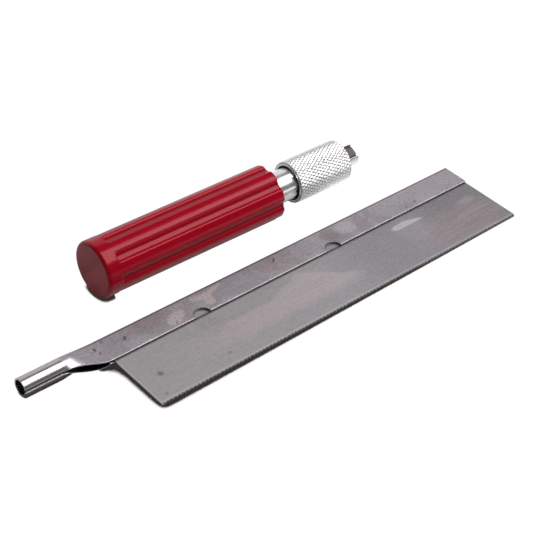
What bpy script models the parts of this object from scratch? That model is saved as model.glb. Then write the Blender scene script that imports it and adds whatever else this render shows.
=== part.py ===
"""A craft razor saw taken apart: a fluted handle with a screw chuck, and its backed blade beside it.

Sizes are in millimetres and turn into metres only where a mesh or an object's place is written.
The handle lies along +X with its butt face at x = 0 in the handle's own frame. An angle round the
handle starts at the top and is positive towards -Y. In the blade's own frame u runs from the
heel of the plate to its far end, v from the teeth to the folded back, and w through the thickness.
"""

import math

import bmesh
import bpy
from mathutils import Matrix, Vector

MM = 0.001

# Grip, measured along the handle from the butt face.
GRIP_RADIUS = 7.96
GRIP_LENGTH = 58.5
BUTT_FILLET = 1.1
FRONT_FILLET = 0.5
COLLAR_LENGTH = 4.0
FLUTE_COUNT = 8
FLUTE_DEPTH = 0.7
FLUTE_HALF_ANGLE = math.radians(11.2)
FLUTE_RUN_IN = 0.8
FIRST_CREST_ANGLE = math.radians(20.5)
GRIP_BORE_CLEARANCE = 0.2

# Chuck shaft: a shank moulded into the grip, and the barrel that the sleeve screws onto.
SHANK_START = 25.0
SHANK_RADIUS = 3.8
SHANK_GROOVES = 3
SHANK_GROOVE_PITCH = 8.0
SHANK_GROOVE_WIDTH = 2.0
SHANK_GROOVE_DEPTH = 0.5
BARREL_START = 55.0
BARREL_RADIUS = 4.57
BARREL_END = 79.6
BORE_BOTTOM = 66.5
BORE_CLEARANCE = 0.35

# Knurled sleeve.
SLEEVE_REAR = 65.9
SLEEVE_FRONT = 84.6
SLEEVE_RADIUS = 6.15
SLEEVE_CHAMFER = 0.3
COUNTERBORE_RADIUS = 5.0
COUNTERBORE_DEPTH = 3.5
THREAD_CLEARANCE = 0.33
NOSE_HOLE_RADIUS = 3.6
SLEEVE_CONE_START = 81.5
SLEEVE_CONE_END = 83.1

# Collet: a short ring that carries four jaws.
COLLET_BORE = 2.25
COLLET_RADIUS = 2.95
RING_START = 67.5
RING_LENGTH = 3.7
JAW_START = 71.5
JAW_HINGE_RADIUS = 2.6
TAPER_START = 72.5
TAPER_END = 79.5
TAPER_RADIUS = 3.6
HEAD_START = 80.0
HEAD_RADIUS = 4.3
HEAD_CONE_START = 81.4
HEAD_CONE_END = 83.0
JAW_TIP = 90.2
FLAT_JAW_TIP = 89.5
JAW_FLAT_DISTANCE = 2.55
JAW_FLAT_START = 84.2
SLOT_WIDTH = 0.5
FIRST_JAW_ANGLE = math.radians(26.5)

# Blade.
PLATE_LENGTH = 126.0
PLATE_THICKNESS = 0.4
PLATE_TOP = 27.0
BACK_LINE = 27.8
SHEET = 0.42
SHEET_GAP = 0.1
FLAP_EDGE = 19.35
TANG_RADIUS = 2.41
TANG_END = -23.4
TANG_SEAM = 0.16
SPREAD_START = -12.6
SPREAD_END = -1.1
MOUTH_OPENING = 0.65
NOTCH_RADIUS = 2.4
NOTCH_CENTRES = (27.9, 73.7)

# How the two pieces lie: the heel of the plate from the butt of the handle, and the blade's yaw.
BLADE_HEEL = (-11.1, -45.77)
BLADE_YAW = 0.0267

ROUND_STEPS = 48
COLLET_STEPS = 32
ARC_STEPS = 16
FLUTE_STEPS = 7
LAND_STEPS = 3


def make_material(name, colour, roughness, metallic):
    material = bpy.data.materials.new(name)
    material.use_nodes = True
    shader = material.node_tree.nodes["Principled BSDF"]
    shader.inputs["Base Color"].default_value = (*colour, 1.0)
    shader.inputs["Roughness"].default_value = roughness
    shader.inputs["Metallic"].default_value = metallic
    material.diffuse_color = (*colour, 1.0)
    return material


def add_empty(name, parent=None, location=(0, 0, 0), turn=0.0):
    """An empty at a place in millimetres, turned about its parent's X axis."""
    empty = bpy.data.objects.new(name, None)
    empty.empty_display_size = 5 * MM
    empty.parent = parent
    empty.location = Vector(location) * MM
    empty.rotation_euler = (turn, 0, 0)
    bpy.context.scene.collection.objects.link(empty)
    return empty


def add_object(name, mesh, parent, material, location=(0, 0, 0)):
    mesh.shade_smooth()
    mesh.set_sharp_from_angle(angle=math.radians(30))
    if material:
        mesh.materials.append(material)
    piece = bpy.data.objects.new(name, mesh)
    piece.parent = parent
    piece.location = Vector(location) * MM
    bpy.context.scene.collection.objects.link(piece)
    return piece


def finish_mesh(name, shape):
    """Merges coincident points, turns every face outwards and hands back a mesh."""
    bmesh.ops.remove_doubles(shape, verts=shape.verts, dist=1e-4 * MM)
    bmesh.ops.recalc_face_normals(shape, faces=shape.faces)
    mesh = bpy.data.meshes.new(name)
    shape.to_mesh(mesh)
    shape.free()
    return mesh


def turned_mesh(name, outline, start=0.0, steps=ROUND_STEPS):
    """An outline of (x, radius) points spun about X, with x counted from start.

    The outline is either a closed loop, or it runs from the axis back to the axis.
    """
    shape = bmesh.new()
    corners = [shape.verts.new(((x - start) * MM, 0, radius * MM)) for x, radius in outline]
    edges = [shape.edges.new(pair) for pair in zip(corners, corners[1:])]
    if outline[0][1] > 0:
        edges.append(shape.edges.new((corners[-1], corners[0])))
    bmesh.ops.spin(
        shape,
        geom=corners + edges,
        cent=(0, 0, 0),
        axis=(1, 0, 0),
        angle=2 * math.pi,
        steps=steps,
    )
    return finish_mesh(name, shape)


def lofted_mesh(name, sections):
    """A solid through closed sections with equal numbers of points, capped at both ends."""
    shape = bmesh.new()
    rings = [[shape.verts.new(Vector(point) * MM) for point in section] for section in sections]
    count = len(rings[0])
    for near, far in zip(rings, rings[1:]):
        for k in range(count):
            after = (k + 1) % count
            shape.faces.new((near[k], near[after], far[after], far[k]))
    shape.faces.new(rings[0][::-1])
    shape.faces.new(rings[-1])
    return finish_mesh(name, shape)


def box_mesh(name, low, high):
    shape = bmesh.new()
    size = [b - a for a, b in zip(low, high)]
    middle = [(a + b) / 2 for a, b in zip(low, high)]
    place = Matrix.Translation(Vector(middle) * MM) @ Matrix.Diagonal((*(Vector(size) * MM), 1))
    bmesh.ops.create_cube(shape, size=1, matrix=place)
    return finish_mesh(name, shape)


def add_cutter(name, mesh, parent, location=(0, 0, 0), turn=0.0):
    cutter = add_object(name, mesh, parent, None, location)
    cutter.rotation_euler = (turn, 0, 0)
    cutter.hide_render = True
    cutter.display_type = "WIRE"
    return cutter


def add_boolean(piece, cutter, operation="DIFFERENCE"):
    modifier = piece.modifiers.new(cutter.name, "BOOLEAN")
    modifier.operation = operation
    modifier.object = cutter


def quarter_round(depth, s):
    """How deep an edge rounded with this radius still lies at s, from 0 at the face to 1 inside."""
    return depth * (1 - math.sqrt(max(0.0, 1 - (1 - s) ** 2)))


def flute_angles():
    """(angle, share of the flute depth) round the grip: lands, and cosine-squared grooves."""
    spacing = 2 * math.pi / FLUTE_COUNT
    land = spacing / 2 - FLUTE_HALF_ANGLE
    angles = []
    for flute in range(FLUTE_COUNT):
        crest = FIRST_CREST_ANGLE + flute * spacing
        for k in range(LAND_STEPS):
            angles.append((crest - land + 2 * land * k / LAND_STEPS, 0.0))
        for k in range(FLUTE_STEPS):
            across = 2 * k / FLUTE_STEPS - 1
            share = math.cos(across * math.pi / 2) ** 2
            angles.append((crest + land + (across + 1) * FLUTE_HALF_ANGLE, share))
    return angles


def grip_section(x, inset, depth):
    """The grip's outline at x, drawn in by inset, with grooves of this depth."""
    section = []
    for angle, share in flute_angles():
        radius = GRIP_RADIUS - inset - depth * share
        section.append((x, -radius * math.sin(angle), radius * math.cos(angle)))
    return section


def add_grip(parent, material):
    sections = []
    for s in (0, 0.07, 0.25, 0.55, 1):
        sections.append(grip_section(s * BUTT_FILLET, quarter_round(BUTT_FILLET, s), 0))
    for s in (0, 0.15, 0.5, 1):
        depth = FLUTE_DEPTH * math.sqrt(1 - (1 - s) ** 2)
        sections.append(grip_section(COLLAR_LENGTH + s * FLUTE_RUN_IN, 0, depth))
    for s in (1, 0.5, 0):
        inset = quarter_round(FRONT_FILLET, s)
        sections.append(grip_section(GRIP_LENGTH - s * FRONT_FILLET, inset, FLUTE_DEPTH))
    grip = add_object("grip", lofted_mesh("grip", sections), parent, material)
    shank_hole = SHANK_RADIUS + GRIP_BORE_CLEARANCE
    barrel_hole = BARREL_RADIUS + GRIP_BORE_CLEARANCE
    bore = [
        (SHANK_START - GRIP_BORE_CLEARANCE, 0),
        (SHANK_START - GRIP_BORE_CLEARANCE, shank_hole),
        (BARREL_START - GRIP_BORE_CLEARANCE, shank_hole),
        (BARREL_START - GRIP_BORE_CLEARANCE, barrel_hole),
        (GRIP_LENGTH + 1, barrel_hole),
        (GRIP_LENGTH + 1, 0),
    ]
    add_boolean(grip, add_cutter("grip_bore", turned_mesh("grip_bore", bore), parent))


def add_shaft(parent, material):
    bevel = 0.3
    mouth = TAPER_RADIUS + BORE_CLEARANCE
    hole = COLLET_RADIUS + BORE_CLEARANCE
    outline = [(SHANK_START, 0), (SHANK_START, SHANK_RADIUS - bevel)]
    outline.append((SHANK_START + bevel, SHANK_RADIUS))
    for groove in range(SHANK_GROOVES):
        begin = SHANK_START + SHANK_GROOVE_PITCH * (groove + 0.5)
        end = begin + SHANK_GROOVE_WIDTH
        floor = SHANK_RADIUS - SHANK_GROOVE_DEPTH
        outline += [(begin, SHANK_RADIUS), (begin, floor), (end, floor), (end, SHANK_RADIUS)]
    outline += [
        (BARREL_START, SHANK_RADIUS),
        (BARREL_START, BARREL_RADIUS),
        (BARREL_END - bevel, BARREL_RADIUS),
        (BARREL_END, BARREL_RADIUS - bevel),
        (BARREL_END, mouth),
        (TAPER_START, hole),
        (BORE_BOTTOM, hole),
        (BORE_BOTTOM, 0),
    ]
    mesh = turned_mesh("chuck_shaft", outline, start=GRIP_LENGTH)
    add_object("chuck_shaft", mesh, parent, material, (GRIP_LENGTH, 0, 0))


def add_sleeve(parent, material):
    thread = BARREL_RADIUS + THREAD_CLEARANCE
    edge = SLEEVE_RADIUS - SLEEVE_CHAMFER
    outline = [
        (SLEEVE_REAR, COUNTERBORE_RADIUS),
        (SLEEVE_REAR, edge),
        (SLEEVE_REAR + SLEEVE_CHAMFER, SLEEVE_RADIUS),
        (SLEEVE_FRONT - SLEEVE_CHAMFER, SLEEVE_RADIUS),
        (SLEEVE_FRONT, edge),
        (SLEEVE_FRONT, NOSE_HOLE_RADIUS),
        (SLEEVE_CONE_END, NOSE_HOLE_RADIUS),
        (SLEEVE_CONE_START, thread),
        (SLEEVE_REAR + COUNTERBORE_DEPTH, thread),
        (SLEEVE_REAR + COUNTERBORE_DEPTH, COUNTERBORE_RADIUS),
    ]
    mesh = turned_mesh("chuck_sleeve", outline, start=SLEEVE_REAR)
    add_object("chuck_sleeve", mesh, parent, material, (SLEEVE_REAR, 0, 0))


def add_collet_ring(parent, material):
    end = RING_START + RING_LENGTH
    outline = [
        (RING_START, COLLET_BORE),
        (RING_START, COLLET_RADIUS),
        (end, COLLET_RADIUS),
        (end, COLLET_BORE),
    ]
    mesh = turned_mesh("collet_ring", outline, start=RING_START, steps=COLLET_STEPS)
    add_object("collet_ring", mesh, parent, material, (RING_START, 0, 0))


def add_jaw(number, parent, material):
    """A quarter of the collet, with its origin on the line about which it springs open."""
    flat = number % 2 == 1
    tip = FLAT_JAW_TIP if flat else JAW_TIP
    lead = 0.25
    outline = [
        (JAW_START, COLLET_BORE),
        (JAW_START, COLLET_RADIUS),
        (TAPER_START, COLLET_RADIUS),
        (TAPER_END, TAPER_RADIUS),
        (HEAD_START, TAPER_RADIUS),
        (HEAD_START, HEAD_RADIUS),
        (HEAD_CONE_START, HEAD_RADIUS),
        (HEAD_CONE_END, COLLET_RADIUS),
        (tip - lead, COLLET_RADIUS),
        (tip, COLLET_RADIUS - lead),
        (tip, COLLET_BORE + lead / 2),
        (tip - lead, COLLET_BORE),
    ]
    name = f"collet_jaw_{number}"
    turn = FIRST_JAW_ANGLE + (number - 1) * math.pi / 2
    frame = add_empty(name + "_angle", parent, turn=turn)
    mesh = turned_mesh(name, outline, start=JAW_START, steps=COLLET_STEPS)
    mesh.transform(Matrix.Translation((0, 0, -JAW_HINGE_RADIUS * MM)))
    jaw = add_object(name, mesh, frame, material, (JAW_START, 0, JAW_HINGE_RADIUS))
    reach = 8.0
    quadrant = box_mesh(name + "_quadrant", (JAW_START - 1, 0, 0), (JAW_TIP + 1, reach, reach))
    corner = (0, 0, SLOT_WIDTH / 2 * math.sqrt(2))
    cutter = add_cutter(name + "_quadrant", quadrant, frame, corner, math.pi / 4)
    add_boolean(jaw, cutter, "INTERSECT")
    if flat:
        low = (JAW_FLAT_START, -reach, JAW_FLAT_DISTANCE)
        above = box_mesh(name + "_flat", low, (JAW_TIP + 1, reach, reach))
        add_boolean(jaw, add_cutter(name + "_flat", above, frame))


def ease(s):
    """0 up to s = 0, 1 from s = 1, and a smooth rise between them."""
    s = min(max(s, 0.0), 1.0)
    return s * s * (3 - 2 * s)


def between(a, b, share):
    return a + (b - a) * share


def notch_rise(u):
    """How far a half-round notch lifts the edge of the flaps at u."""
    rise = 0.0
    for centre in NOTCH_CENTRES:
        rise = max(rise, math.sqrt(max(0.0, NOTCH_RADIUS**2 - (u - centre) ** 2)))
    return rise


def sheet_section(u):
    """The folded sheet's closed outline at u, from an arc round the back and two straight flaps.

    The arc's radius, the height of the flaps' edge and their distance from the middle plane all
    ease from the tube of the tang to the flat fold. Each flap is the tangent from its edge to
    the arc, so its length and the arc's angle follow from those three.
    """
    spread = (u - SPREAD_START) / (SPREAD_END - SPREAD_START)
    inside = min(max(spread, 0.0), 1.0)
    tube = TANG_RADIUS - SHEET / 2
    fold = PLATE_THICKNESS / 2 + SHEET_GAP + SHEET / 2
    radius = between(tube, fold, ease(spread))
    centre = BACK_LINE - SHEET / 2 - radius
    gap = between(TANG_SEAM / 2, fold, inside) + MOUTH_OPENING * math.sin(math.pi * inside)
    seam = BACK_LINE - SHEET / 2 - tube - math.sqrt(tube**2 - (TANG_SEAM / 2) ** 2)
    edge = between(seam, FLAP_EDGE, ease(spread)) + notch_rise(u)
    reach = math.hypot(edge - centre, gap)
    angle = math.atan2(gap, edge - centre) - math.acos(min(1.0, radius / reach))
    length = math.sqrt(max(0.0, reach**2 - radius**2))
    outline = []
    for side in (SHEET / 2, -SHEET / 2):
        half = radius + side
        tip_v = centre + half * math.cos(angle) - length * math.sin(angle)
        tip_w = half * math.sin(angle) + length * math.cos(angle)
        curve = [(u, tip_v, tip_w)]
        for k in range(ARC_STEPS + 1):
            a = angle * (1 - 2 * k / ARC_STEPS)
            curve.append((u, centre + half * math.cos(a), half * math.sin(a)))
        curve.append((u, tip_v, -tip_w))
        outline += curve if side > 0 else curve[::-1]
    return outline


def spine_stations():
    """Where the spine's sections lie: close together where the sheet spreads and round notches."""
    spread_steps = 10
    notch_steps = 8
    stations = [TANG_END]
    for k in range(spread_steps + 1):
        stations.append(between(SPREAD_START, SPREAD_END, k / spread_steps))
    for centre in NOTCH_CENTRES:
        for k in range(notch_steps + 1):
            stations.append(centre - NOTCH_RADIUS * math.cos(math.pi * k / notch_steps))
    return stations + [PLATE_LENGTH]


def strip_lofted_mesh(name, sections):
    """A folded sheet through its sections, with both ends closed by strips between its faces."""
    shape = bmesh.new()
    rings = [[shape.verts.new(Vector(point) * MM) for point in section] for section in sections]
    count = len(rings[0])
    for near, far in zip(rings, rings[1:]):
        for k in range(count):
            after = (k + 1) % count
            shape.faces.new((near[k], near[after], far[after], far[k]))
    for ring in (rings[0], rings[-1]):
        for k in range(count // 2 - 1):
            shape.faces.new((ring[k], ring[k + 1], ring[-2 - k], ring[-1 - k]))
    return finish_mesh(name, shape)


def blade_placement():
    """The blade's place as it rests on the inner end of its tube, the spine's far end and a tooth."""
    flat = PLATE_THICKNESS / 2 + SHEET_GAP + SHEET
    feet = [
        Vector((SPREAD_START, BACK_LINE - TANG_RADIUS, -TANG_RADIUS)),
        Vector((PLATE_LENGTH, 0, -PLATE_THICKNESS / 2)),
        Vector((PLATE_LENGTH, FLAP_EDGE, -flat)),
    ]
    up = (feet[1] - feet[0]).cross(feet[2] - feet[0]).normalized()
    level = up.rotation_difference(Vector((0, 0, 1))).to_matrix()
    turned = Matrix.Rotation(BLADE_YAW, 3, "Z") @ level
    height = -(turned @ feet[0]).z
    place = Vector((*BLADE_HEEL, height)) * MM
    return Matrix.Translation(place) @ turned.to_4x4()


def add_blade(parent, plate_material, spine_material):
    frame = add_empty("blade_frame", parent)
    frame.matrix_basis = blade_placement()
    half = PLATE_THICKNESS / 2
    plate = box_mesh("saw_plate", (0, 0, -half), (PLATE_LENGTH, PLATE_TOP, half))
    add_object("saw_plate", plate, frame, plate_material)
    sections = [sheet_section(u) for u in spine_stations()]
    add_object("blade_spine", strip_lofted_mesh("blade_spine", sections), frame, spine_material)


def centre_on_origin(layout):
    """Moves the whole layout so that the origin is the middle of the surface under its box."""
    bpy.context.view_layer.update()
    graph = bpy.context.evaluated_depsgraph_get()
    corners = []
    for piece in bpy.context.scene.objects:
        if piece.type == "MESH" and not piece.hide_render:
            solid = piece.evaluated_get(graph)
            corners += [solid.matrix_world @ vertex.co for vertex in solid.data.vertices]
    low = [min(corner[axis] for corner in corners) for axis in range(3)]
    high = [max(corner[axis] for corner in corners) for axis in range(3)]
    layout.location = (-(low[0] + high[0]) / 2, -(low[1] + high[1]) / 2, -low[2])


def main():
    for old in list(bpy.data.objects):
        bpy.data.objects.remove(old, do_unlink=True)
    red = make_material("red_plastic", (0.42, 0.006, 0.022), 0.3, 0.0)
    aluminium = make_material("aluminium", (0.82, 0.82, 0.83), 0.25, 1.0)
    steel = make_material("saw_steel", (0.40, 0.39, 0.39), 0.4, 1.0)
    spine = make_material("spine_steel", (0.34, 0.31, 0.33), 0.42, 1.0)
    layout = add_empty("layout")
    handle = add_empty("handle_axis", layout, (0, 0, GRIP_RADIUS))
    add_grip(handle, red)
    add_shaft(handle, aluminium)
    add_sleeve(handle, aluminium)
    add_collet_ring(handle, aluminium)
    for number in (1, 2, 3, 4):
        add_jaw(number, handle, aluminium)
    add_blade(layout, steel, spine)
    centre_on_origin(layout)


main()
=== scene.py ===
"""The looks of a craft razor saw taken apart: a fluted handle with a screw chuck, and its blade.

Every piece is a surface worked out with numpy in its own frame, in millimetres, and is placed from
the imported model. The handle's frame starts at the middle of its butt face with x along the handle.
An angle round the handle starts at the top and is positive towards -Y. In the blade's frame u runs
from the heel of the plate to its far end, v from the teeth to the folded back, w through it.
"""

import math

import bpy
import numpy as np
from mathutils import Matrix, Quaternion, Vector


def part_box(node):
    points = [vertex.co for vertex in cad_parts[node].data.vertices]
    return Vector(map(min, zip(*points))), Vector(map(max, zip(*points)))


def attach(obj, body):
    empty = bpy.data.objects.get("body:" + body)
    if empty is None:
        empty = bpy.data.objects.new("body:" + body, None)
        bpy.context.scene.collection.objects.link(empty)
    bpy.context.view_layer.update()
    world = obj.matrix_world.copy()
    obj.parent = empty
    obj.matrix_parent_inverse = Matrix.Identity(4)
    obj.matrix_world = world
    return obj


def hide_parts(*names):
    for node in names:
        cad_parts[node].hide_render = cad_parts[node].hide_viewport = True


MM = 0.001

# Camera: what it looks at on the floor, from where, and through which lens.
CAMERA_TARGET = (0.00392, 0.00095, 0.0)
CAMERA_DISTANCE = 0.39888
CAMERA_AZIMUTH = math.radians(-41.218)
CAMERA_ELEVATION = math.radians(38.213)
CAMERA_ROLL = math.radians(2.705)
CAMERA_LENS = 100.47

# Softboxes: name, middle, what it faces, width and depth, brightness, tint.
SOFTBOXES = (
    ("overhead", (0.37, -0.25, 0.52), (0.37, -0.25, 0.0), (0.9, 0.56), 4.8, (1.0, 1.0, 1.0)),
    ("backdrop", (0.9, 1.0, 0.75), (0.9, 0.0, 0.75), (3.2, 1.5), 0.70, (0.98, 0.96, 1.0)),
)
BLACK = (0.0, 0.0, 0.0)
WHITE = (1.0, 1.0, 1.0)
ROOM_LIGHT = (0.15, 0.15, 0.153)

# What the floor gives back to the pieces: dim in front, brighter behind, most beside the sleeve.
FLOOR_DIM = (0.13, 0.13, 0.13)
FLOOR_BOUNCE = (0.5, 0.5, 0.5)
FLOOR_GLOW = (0.95, 0.95, 0.95)
BOUNCE_DEPTHS = (-0.10, -0.02)
GLOW_STRETCH = (0.033, 0.042)

# The floor's contact shadows: how far an edge reaches, and where one reach passes to the next.
CONTACT_SHADOW = (0.035, 0.028, 0.026)
CONTACT_OPENNESS = (0.56, 0.64)
PLATE_SHADOW = 0.005
TANG_SHADOW = 0.001
HANDLE_SHADOW = 0.0004
BUTT_SHADOW = 0.002
TANG_TO_HEEL = (-0.056, -0.0518)
BLADE_TO_HANDLE = (0.004, 0.007)
BUTT_TO_GRIP = (-0.0362, -0.0348)

# Grip.
BUTT_FILLET = 1.1
FRONT_FILLET = 0.5
COLLAR_LENGTH = 4.0
FLUTE_COUNT = 8
FLUTE_DEPTH = 0.7
FLUTE_HALF_ANGLE = math.radians(11.2)
FLUTE_EDGE = 0.16
FLUTE_RUN_IN = 0.8
FLUTE_CORNER = 0.5
FIRST_CREST_ANGLE = math.radians(20.5)
GRIP_RADIUS = 7.96
GRIP_CLEARANCE = 0.2

# Chuck shaft.
SHANK_START = 25.0
SHANK_RADIUS = 3.8
SHANK_GROOVES = 3
SHANK_GROOVE_PITCH = 8.0
SHANK_GROOVE_WIDTH = 2.0
SHANK_GROOVE_DEPTH = 0.5
BARREL_START = 55.0
BARREL_RADIUS = 4.57
BARREL_END = 79.6
BORE_BOTTOM = 66.5
BORE_CLEARANCE = 0.35

# Screw thread between the barrel and the sleeve.
THREAD_PITCH = 1.0
THREAD_DEPTH = 0.32
THREAD_GAP = 0.12
BARREL_THREAD_START = 68.6

# Sleeve.
SLEEVE_CHAMFER = 0.3
COUNTERBORE_RADIUS = 5.0
COUNTERBORE_DEPTH = 3.5
SLEEVE_BORE = 4.9
SLEEVE_THREAD_END = 79.5
NOSE_HOLE_RADIUS = 3.6
SLEEVE_CONE_START = 81.5
SLEEVE_CONE_END = 83.1
KNURL_STARTS = 36
KNURL_STEPS = 6
KNURL_ROWS = 128
KNURL_DEPTH = 0.22
KNURL_FLAT = 0.76

# Collet.
COLLET_BORE = 2.25
COLLET_RADIUS = 2.95
RING_START = 67.5
RING_LENGTH = 3.7
JAW_START = 71.5
TAPER_START = 72.5
TAPER_END = 79.5
TAPER_RADIUS = 3.6
HEAD_START = 80.0
HEAD_RADIUS = 4.3
HEAD_CONE_START = 81.4
HEAD_CONE_END = 83.0
JAW_TIP = 90.2
FLAT_JAW_TIP = 89.5
JAW_FLAT_DISTANCE = 2.55
JAW_FLAT_START = 84.2
JAW_TIP_CHAMFER = 0.25
SLOT_WIDTH = 0.5
FIRST_JAW_ANGLE = math.radians(26.5)

# Blade.
TOOTH_COUNT = 208
TOOTH_DEPTH = 0.38
BACK_LINE = 27.8
SHEET = 0.42
SHEET_GAP = 0.1
SHEET_CORNER = 0.1
FLAP_EDGE = 19.35
TANG_RADIUS = 2.41
TANG_END = -23.4
TANG_SEAM = 0.16
SPREAD_START = -12.6
SPREAD_END = -1.1
MOUTH_OPENING = 0.8
NOTCH_RADIUS = 2.4
NOTCH_CENTRES = (27.9, 73.7)

# Tones: what each finish gives back of red, green and blue light.
RED = ((0.225, 0.0, 0.006), (0.285, 0.0, 0.010))
# Painted shade: a darker red for the inside of the flutes.
FLUTE_SHADE_RED = (0.14, 0.0, 0.003)
# Painted reflection: greyish pink tones for the butt face, a grey room's reflection on dark red.
BUTT_SHEEN_TONES = ((0.27, 0.040, 0.047), (0.38, 0.072, 0.084))
BRIGHT_ALUMINIUM = ((0.80, 0.80, 0.81), (0.88, 0.88, 0.89))
KNURL_ALUMINIUM = ((0.84, 0.835, 0.835), (0.92, 0.915, 0.915))
KNURL_GROOVE_DARK = (0.10, 0.09, 0.085)
# Painted shade: near black for the collet's filed flats, slot sides and bore.
FLAT_AND_BORE_SHADE = ((0.050, 0.045, 0.043), (0.085, 0.077, 0.074))
PALE_JAW = (0.70, 0.69, 0.69)
# Painted shade: the outside of the jaws that carry flats, a shaded copy of the pale tone.
SHADED_JAW = (0.075, 0.068, 0.065)
PLATE_NEAR = (0.435, 0.425, 0.427)
PLATE_MIDDLE = (0.418, 0.405, 0.412)
PLATE_BEYOND = (0.345, 0.333, 0.356)
PLATE_END = (0.268, 0.252, 0.268)
PLATE_GRAIN = (0.27, 0.265, 0.268)
PLATE_SPECKS = ((0.22, 0.215, 0.218), (0.56, 0.545, 0.55))
WARM_TARNISH = (0.545, 0.478, 0.497)
BROWN_STAIN = (0.40, 0.325, 0.330)
PALE_SCAR = (0.68, 0.64, 0.66)
TOOTH_SHINE = (0.62, 0.60, 0.60)
TOOTH_SHADE = (0.10, 0.095, 0.095)
HEEL_SHINE = (0.60, 0.58, 0.58)
# Painted shadow: a dark line on the plate along the flap's edge.
FLAP_SHADOW = (0.09, 0.083, 0.085)
SPINE_PURPLE = ((0.388, 0.350, 0.370), (0.462, 0.426, 0.450))
SPINE_GRAIN = (0.26, 0.24, 0.25)
SPINE_SPECKS = ((0.22, 0.19, 0.20), (0.55, 0.53, 0.55))
SPINE_SCAR = (0.60, 0.53, 0.53)
BACK_SHADE = (0.10, 0.085, 0.09)
FLAP_SHINE = (0.62, 0.59, 0.59)
NOTCH_SHADE = (0.07, 0.06, 0.062)
POLISHED_TUBE = (0.52, 0.49, 0.505)
SEAM_SHADE = (0.02, 0.018, 0.018)
MOUTH_SHADE = (0.01, 0.01, 0.01)
RUST = (0.115, 0.075, 0.055)

# Wear on the blade: (middle (u, v), reach (u, v), softness, how strong, tone).
WARM_BAND = (10, 76)
WARM_BAND_TOP = (17.0, 15.5, 14.6, 13.8, 13.2, 13.0, 13.4, 15.0, 17.6, 14.0, 10.0, 7.0)
PLATE_STAINS = (
    ((116, 8.5), (7, 0.8), 0.5, 0.7, (0.43, 0.34, 0.34)),
    ((119.5, 13.2), (3.2, 1.1), 0.5, 0.7, (0.46, 0.38, 0.385)),
    ((97.5, 12.5), (4.5, 4.5), 0.5, 0.35, (0.46, 0.43, 0.44)),
    ((23, 17), (1.2, 2.6), 0.6, 0.5, (0.50, 0.47, 0.46)),
    ((26.4, 15.0), (4.0, 3.5), 0.15, 0.2, (0.30, 0.30, 0.31)),
)
PLATE_RUST = (
    ((6.1, 8.9), (0.75, 0.75), 0.5, 0.6, RUST),
    ((3.0, 2.5), (0.5, 0.5), 0.5, 0.35, RUST),
    ((24.5, 4.5), (0.5, 0.5), 0.5, 0.35, RUST),
)
SPINE_STAINS = (
    ((-5, 24.5), (5.5, 3.0), 0.5, 0.55, (0.50, 0.46, 0.505)),
    ((114, 24), (15, 4.5), 0.4, 0.6, (0.52, 0.48, 0.52)),
    ((14, 25), (6.5, 2.6), 0.5, 0.55, (0.34, 0.268, 0.268)),
    ((58, 23.5), (6.5, 4.0), 0.5, 0.45, (0.36, 0.285, 0.282)),
    ((76, 23), (2.5, 3.5), 0.5, 0.6, (0.30, 0.24, 0.235)),
    ((42, 23.5), (7.0, 2.2), 0.6, 0.6, (0.42, 0.405, 0.455)),
    ((68, 24), (4.5, 2.6), 0.5, 0.6, (0.43, 0.415, 0.455)),
    ((82.5, 24.2), (3.2, 2.4), 0.3, 0.7, (0.59, 0.56, 0.59)),
    ((99, 22), (2.6, 1.4), 0.5, 0.45, (0.40, 0.41, 0.49)),
    ((116, 25.5), (5.5, 1.6), 0.5, 0.5, (0.50, 0.42, 0.43)),
)
SPINE_SCARS = (  # (middle, reach, slant)
    ((21.5, 22.3), (3.0, 1.9), 0.25),
    ((33, 23.3), (1.6, 2.6), 0.0),
    ((31, 25), (2.4, 1.0), -0.3),
    ((35.8, 25.2), (2.8, 0.8), 0.45),
)
SPINE_RUST = (
    ((6.5, 23.9), (0.55, 0.6), 0.5, 0.75, RUST),
    ((-2.1, 24.8), (0.45, 0.7), 0.5, 0.75, RUST),
    ((-1.6, 23.0), (0.4, 0.5), 0.5, 0.6, RUST),
    ((0.9, 26.3), (0.5, 0.4), 0.5, 0.5, RUST),
    ((56.7, 25.0), (0.75, 0.35), 0.5, 0.85, RUST),
    ((106.7, 21.2), (0.6, 0.4), 0.5, 0.5, RUST),
    ((102.9, 20.8), (0.5, 0.4), 0.5, 0.4, RUST),
    ((20.6, 20.7), (0.5, 0.4), 0.5, 0.5, RUST),
)
RUST_SLANT = 0.7

TURNED_STEPS = 144


# ---------------------------------------------------------------- frames and meshes


class Axes:
    """A piece's own axes in the row frame: where they start, in metres, and three unit vectors."""

    def __init__(self, start, directions):
        self.start = np.array(start, float)
        self.directions = np.array(directions, float)

    def place(self, points):
        """Points in millimetres along these axes, as metres in the row frame."""
        return self.start + MM * np.asarray(points) @ self.directions


def handle_axes():
    """The sleeve is round, so the middle of its box is the handle's axis."""
    low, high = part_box("chuck_sleeve")
    middle = (low + high) / 2
    return Axes((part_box("grip")[0].x, middle.y, middle.z), np.eye(3))


def blade_axes(plate):
    """The corners of a box spread along its edges, so their principal directions are its axes."""
    corners = np.unique(np.round([vertex.co for vertex in plate.data.vertices], 7), axis=0)
    middle = corners.mean(0)
    directions = np.linalg.svd(corners - middle)[2]
    directions *= np.sign(np.diag(directions))[:, None]
    spans = (corners - middle) @ directions.T
    low, high = spans.min(0), spans.max(0)
    heel = middle + low[:2] @ directions[:2]
    return Axes(heel, directions), (high - low) / MM


def turned(x, radius, angle):
    """(x, -radius sin angle, radius cos angle): points round the handle's axis."""
    return np.stack(np.broadcast_arrays(x, -radius * np.sin(angle), radius * np.cos(angle)), -1)


def line(start, end, steps=1):
    """Evenly spaced points from start to end, both included."""
    share = np.linspace(0, 1, steps + 1)[:, None]
    return np.array(start) + share * (np.array(end) - np.array(start))


def arc(centre, radius, first, last, steps):
    """Centre + radius (cos a, sin a), with a running from first to last degrees."""
    a = np.radians(np.linspace(first, last, steps + 1))
    return np.array(centre) + radius * np.stack([np.cos(a), np.sin(a)], -1)


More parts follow.
